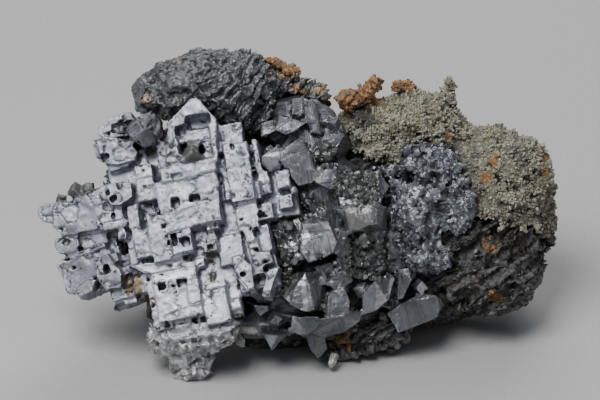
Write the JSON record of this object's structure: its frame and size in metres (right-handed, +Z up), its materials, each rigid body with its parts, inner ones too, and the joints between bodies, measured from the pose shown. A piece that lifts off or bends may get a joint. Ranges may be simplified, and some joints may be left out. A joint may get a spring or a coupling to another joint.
{
  "type": "mineral specimen",
  "caption": "Cabinet specimen of skeletal galena: stepped, pitted cubic plates beside complete galena crystals, sphalerite and a quartz crust on dark rock, on a flat broken base",
  "frame": {"origin": "on the table, below the middle of the specimen's plan", "axes": "+X along the specimen's length, with the skeletal galena at -X; the display face looks to -Y and up; +Z up"},
  "size_m": [0.1584, 0.0846, 0.0861],
  "materials": {
    "bright_galena": "satin metallic cleavage lustre with melted-looking edges",
    "dark_galena": "flat, finely striated metallic faces, lead grey to lavender",
    "blue_galena": "granular, blue-grey metallic",
    "blende": "resinous to submetallic, layered and hackly",
    "rock": "rough broken rock with ledges and small glints",
    "quartz": "sugary crust of tiny pale grey-green crystals",
    "clear_quartz": "milky to clear small prisms",
    "limonite": "crumbly, earthy orange-brown"
  },
  "bodies": {
    "root": {"host_rock": "rock", "quartz_crust": "quartz", "skeletal_galena": "bright_galena", "galena_crystals": "dark_galena", "granular_galena": "blue_galena", "blende_lump": "blende", "limonite_left": "limonite", "limonite_middle": "limonite", "limonite_right": "limonite", "quartz_point_1": "clear_quartz", "quartz_point_2": "clear_quartz", "quartz_point_3": "clear_quartz"}
  },
  "joints": []
}
